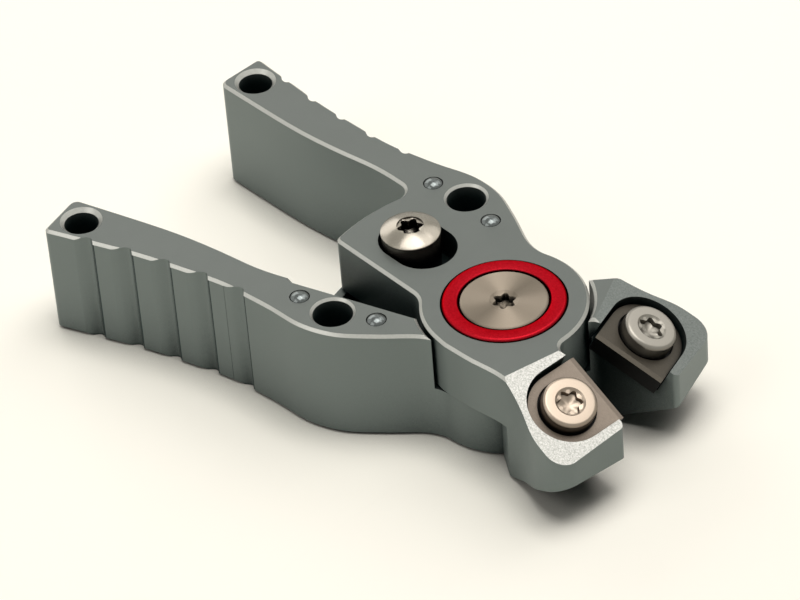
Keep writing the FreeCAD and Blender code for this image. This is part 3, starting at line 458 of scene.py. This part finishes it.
def turned_piece(name, rings, place, slot, segments, finish=None):
    """Turn a piece from its rings. Where a ring has no radius it closes in a point."""
    lobe_count, sharp_angle, point = 6, 32, 1e-6
    work = bmesh.new()
    loops = []
    for radius, height, lobes in rings:
        if radius < point:
            loops.append([work.verts.new((0, 0, height * MM))])
            continue
        loop = []
        for step in range(segments):
            turn = 2 * math.pi * step / segments
            reach = radius * (1 + lobes * math.cos(lobe_count * turn)) * MM
            loop.append(work.verts.new(
                (reach * math.cos(turn), reach * math.sin(turn), height * MM)))
        loops.append(loop)
    for below, above in zip(loops, loops[1:]):
        for step in range(segments):
            following = (step + 1) % segments
            if len(below) == 1:
                corners = (below[0], above[following], above[step])
            elif len(above) == 1:
                corners = (below[step], below[following], above[0])
            else:
                corners = (below[step], below[following], above[following], above[step])
            work.faces.new(corners)
    bmesh.ops.recalc_face_normals(work, faces=work.faces)
    work.transform(place)
    mesh = bpy.data.meshes.new(name)
    work.to_mesh(mesh)
    work.free()
    mesh.shade_smooth()
    mesh.set_sharp_from_angle(angle=math.radians(sharp_angle))
    mesh.materials.append(FINISHES[finish or slot])
    piece = show(name, mesh)
    return piece


# Where the turned pieces sit

def opened(hand):
    """How a lever is turned at rest."""
    return Matrix.Rotation(math.radians(-hand * HALF_OPEN), 4, "Z")


def at(x, y, z, hand=0):
    """Place at a point, which turns with a lever where a hand is given."""
    place = Matrix.Translation(Vector((x, y, z)) * MM)
    return opened(hand) @ place if hand else place


def cutter_face(hand, depth):
    """Place at the screw hole of a cutter, under its face: X along the edge, Z outward."""
    slope_start, lean, skew = 9.3, math.radians(27.0), math.radians(8.5)
    heel, edge_gap, half_width, centre, recess = 9.85, 0.03, 3.85, 4.05, 0.85
    normal = Vector((
        math.sin(lean) * math.cos(skew),
        -hand * math.sin(lean) * math.sin(skew),
        math.cos(lean)))
    along = Vector((1, 0, -normal.x / normal.z)).normalized()
    across = normal.cross(along)
    level = PLATE - math.tan(lean) * (heel * math.cos(skew) - slope_start)
    middle = Vector((heel, -hand * edge_gap, level - recess / normal.z)) + along * half_width
    middle -= across * (hand * centre)
    matrix = Matrix((along, across, normal)).transposed().to_4x4()
    matrix.translation = (middle - normal * depth) * MM
    return opened(hand) @ matrix


# Turned pieces

def cutter_screw(name, node, body, hand, finish):
    """Pan head screw in the counterbore of a cutter."""
    sink_depth = 0.6
    shank, tip, tip_radius, chamfer_end = 1.24, -6.38, 0.95, -6.1
    head, tall, crown, heel = 2.72, 2.1, 0.42, 0.1
    rings = plain(
        (0.0, tip), (tip_radius, tip), (shank, chamfer_end), (shank, 0.0),
        (head - heel - 0.02, 0.0))
    rings += round_edge(head - heel, heel + 0.02, heel, -90, 0, steps=2)
    rings += round_edge(head - crown, tall - crown, crown, 0, 90, steps=10)
    rings += six_lobe_socket(reach=1.3, top=tall, depth=0.75, sink=1.52)
    place = cutter_face(hand, sink_depth)
    piece = turned_piece(name, rings, place, "stainless", 96, finish)
    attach(piece, body)
    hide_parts(node)


def pivot_disc():
    """Flat head of the pivot screw, faced on the lathe, with its shank."""
    top, underside, edge = 12.915, 11.73, 4.34
    shank, tip, tip_radius, chamfer_end = 1.49, 5.3, 1.2, 5.6
    rings = plain(
        (0.0, tip), (tip_radius, tip), (shank, chamfer_end), (shank, underside),
        (edge, underside), (edge, top - 0.14), (4.22, top - 0.02), (4.17, top),
        (4.13, top), (3.0, top), (1.5, top))
    rings += six_lobe_socket(reach=1.22, top=top, depth=1.0, sink=1.46)
    piece = turned_piece("pivot_disc", rings, at(0, 0, 0), "stainless", 144, "faced_steel")
    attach(piece, "lower")
    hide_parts("pivot_screw")


def pivot_collar(name, node, flip):
    """Red cup washer with a rounded shoulder."""
    tall, wide, soft = 1.7, 6.12, 0.32
    bore, cup, web = 2.57, 4.58, 0.45
    rings = plain((bore, 0.0), (5.9, 0.0), (wide, 0.09))
    rings += round_edge(wide - soft, tall - soft, soft, 0, 90, steps=8)
    rings += plain(
        (4.72, tall), (4.63, tall - 0.03), (cup, tall - 0.1), (cup, web), (bore, web),
        (bore, 0.0))
    place = Matrix.Rotation(math.pi, 4, "X") if flip else Matrix.Identity(4)
    shift = tall if flip else PLATE + COLLAR_PROUD - tall
    piece = turned_piece(name, rings, at(0, 0, shift) @ place, "anodised_red", 144)
    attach(piece, "lower")
    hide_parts(node)


def lock_button():
    """Polished button with a domed head over a plain cylinder."""
    back_of_pivot = -13.7
    shank, shank_end, underside = 1.49, -5.65, -3.34
    rim, rise, top = 3.02, 0.86, 1.9
    shoulder, crown, steps = 2.99, 1.36, 14
    rings = plain(
        (0.0, shank_end), (shank, shank_end), (shank, underside), (2.9, underside),
        (2.93, 0.82), (3.0, 0.9), (rim, 0.98), (shoulder, 1.05))
    rings += dome(rim, rise, top, (
        shoulder - (shoulder - crown) * step / steps for step in range(1, steps + 1)))
    crown_height = rings[-1][1]
    rings += six_lobe_socket(reach=1.32, top=crown_height - 0.02, depth=1.3, sink=crown)
    place = at(back_of_pivot, 0, PLATE, UPPER)
    piece = turned_piece(
        "domed_lock_button", rings, place, "polished_steel", 120, "turned_button")
    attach(piece, "lock")
    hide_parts("lock_button")


def domed_pin(name, node, body, x, y, hand):
    """Dowel with a polished dome."""
    pin, end, rim, rise, sunk, steps = 0.99, -9.7, 0.97, 0.46, 0.06, 9
    rings = plain((0.0, end), (0.9, end), (pin, end + 0.1), (pin, -0.1))
    rings += dome(rim, rise, rise - sunk, (
        rim * (1 - (step / steps) ** 1.2) for step in range(steps + 1)))
    place = at(x, y, PLATE, hand)
    piece = turned_piece(name, rings, place, "polished_steel", 48, "domed_pins")
    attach(piece, body)
    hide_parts(node)


# Assembly

REAR_PIN, FRONT_PIN = (-18.7, 7.37), (-10.15, 7.42)

lever_with_running_gap("upper_lever_seated", "upper_lever", "upper")
lever_with_running_gap("lower_lever_seated", "lower_lever", "lower")
winding_spring()
cutter_screw("near_cutter_screw", "upper_insert_screw", "upper", UPPER, "stainless")
# The far screw takes the darker copy of the stainless, as painted shade.
cutter_screw("far_cutter_screw", "lower_insert_screw", "lower", LOWER, "stainless_painted_shaded")
pivot_disc()
pivot_collar("top_pivot_collar", "upper_pivot_collar", False)
pivot_collar("bottom_pivot_collar", "lower_pivot_collar", True)
lock_button()
for body, hand in (("upper", UPPER), ("lower", LOWER)):
    for end, (back, aside) in (("rear", REAR_PIN), ("front", FRONT_PIN)):
        domed_pin(f"{body}_{end}_pin", f"{body}_{end}_dowel", body, back, hand * aside, hand)


# Studio

AIR_COLOUR, AIR_STRENGTH = tint(0.75, 1.0, 0.97), 0.02
BACKDROP = tint(1.0, 1.0, 0.93)
LAMP_COLOUR = (1.0, 0.985, 0.955)
LAMP_AIM = Vector((0, 0, 0.006))
LAMPS = [
    # name, place, side, power
    ("over_jaws", (0.129, 0.217, 0.599), 0.40, 1.3),
    ("over_pivot", (0.0, 0.0, 0.65), 0.40, 2.35),
    ("at_near_side", (-0.179, -0.456, 0.427), 0.36, 0.72),
    ("behind_handles", (-0.551, 0.227, 0.259), 0.36, 0.87),
    ("low_at_left", (-0.553, -0.163, 0.3), 0.36, 0.26),
    ("high_behind", (-0.329, 0.374, 0.417), 0.36, 0.24),
    ("at_far_side", (0.046, 0.502, 0.411), 0.36, 0.6),
]


def table_top():
    """Wide pale table that darkens a little close under the tool, with painted shade."""
    radius, drop = 6.0, 0.00005
    finish = Finish("pale_table")
    paper = finish.grain(3.0, 2.0)
    # Painted shade on the table close under the tool.
    painted_contact_shade = finish.opening(0.007, 0.1, 1.6)
    pale = finish.mix(paper, tint(0.985, 0.95, 0.865), tint(1.0, 0.965, 0.88))
    board = finish.surface(
        Base_Color=finish.mix(painted_contact_shade, tint(0.45, 0.43, 0.40), pale),
        Roughness=0.9, Specular_IOR_Level=0.0)
    work = bmesh.new()
    bmesh.ops.create_circle(work, cap_ends=True, segments=64, radius=radius)
    mesh = bpy.data.meshes.new("table_top")
    work.to_mesh(mesh)
    work.free()
    mesh.materials.append(board)
    table = show("table_top", mesh)
    table.location.z = -drop


def studio_air():
    """Dim even air that camera, glossy and transmission rays see as a white backdrop."""
    world = bpy.data.worlds.new("studio_air")
    bpy.context.scene.world = world
    air = Finish("studio_air", world)
    rays = [
        air.node("ShaderNodeLightPath", out=f"Is {kind} Ray")
        for kind in ("Camera", "Glossy", "Transmission")]
    seen = (rays[0] + rays[1] + rays[2]).at_most(1.0)
    soft = air.node(
        "ShaderNodeBackground", {}, {"Color": AIR_COLOUR, "Strength": AIR_STRENGTH})
    white = air.node("ShaderNodeBackground", {}, {"Color": BACKDROP, "Strength": 1.0})
    both = air.node("ShaderNodeMixShader", {}, {0: seen, 1: soft, 2: white})
    air.finish_with(both, "ShaderNodeOutputWorld")


def lamps():
    """Soft square lamps that look at the tool."""
    for name, place, side, power in LAMPS:
        lamp = bpy.data.lights.new(name, "AREA")
        lamp.shape = "RECTANGLE"
        lamp.size = lamp.size_y = side
        lamp.energy = power
        lamp.color = LAMP_COLOUR
        stand = show(name, lamp)
        stand.location = Vector(place)
        stand.rotation_mode = "QUATERNION"
        stand.rotation_quaternion = (LAMP_AIM - stand.location).to_track_quat("-Z", "Y")


def camera():
    """Camera where the photograph was taken from, with its long lens."""
    place = (0.22529, -0.27107, 0.30866)
    right = Vector((0.7835, 0.6181, -0.0645)).normalized()
    down = Vector((0.3594, -0.5354, -0.7643))
    lens = bpy.data.cameras.new("photo_camera")
    lens.sensor_width = 36.0
    lens.lens = 213.17
    lens.clip_start, lens.clip_end = 0.01, 20.0
    ahead = right.cross(down).normalized()
    down = ahead.cross(right)
    turn = Matrix((right, -down, -ahead)).transposed().to_4x4()
    stand = show("photo_camera", lens)
    stand.matrix_world = Matrix.Translation(place) @ turn
    bpy.context.scene.camera = stand


table_top()
studio_air()
lamps()
camera()
bpy.context.scene.view_settings.view_transform = "Standard"
